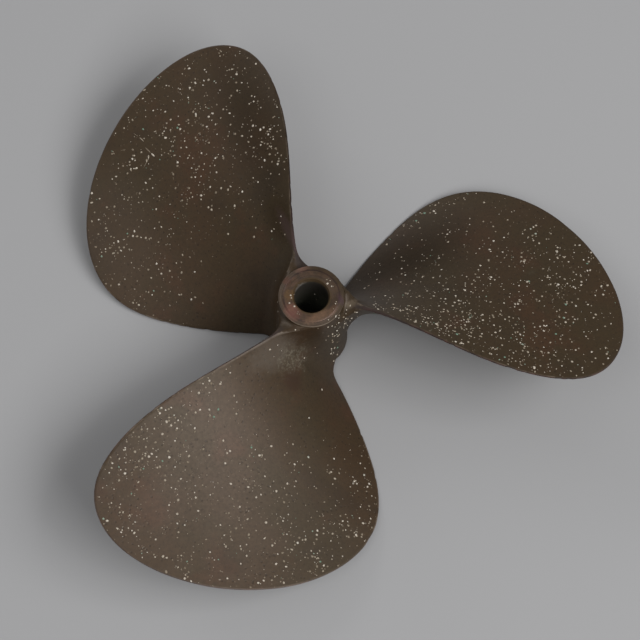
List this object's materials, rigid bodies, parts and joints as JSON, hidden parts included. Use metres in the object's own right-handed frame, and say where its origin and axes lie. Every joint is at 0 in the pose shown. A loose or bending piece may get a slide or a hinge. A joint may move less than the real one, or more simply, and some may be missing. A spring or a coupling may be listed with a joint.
{
  "type": "ship propeller, three-blade fixed-pitch bronze casting",
  "caption": "Left-hand ship propeller cast in one piece: broad rounded blades with a wide leading side on a tapered hub with a tapered shaft bore.",
  "frame": {"origin": "on the shaft axis, at the height of the casting's centre of gravity", "axes": "+Z along the shaft axis towards the aft end of the hub, where the shaft nut seats; +Y along the reference line of the first blade"},
  "size_m": [0.5583, 0.5428, 0.1117],
  "materials": {
    "aged_bronze": "aged, dull, with pale green and whitish specks"
  },
  "bodies": {
    "root": {"propeller_casting": "aged_bronze"}
  },
  "joints": []
}
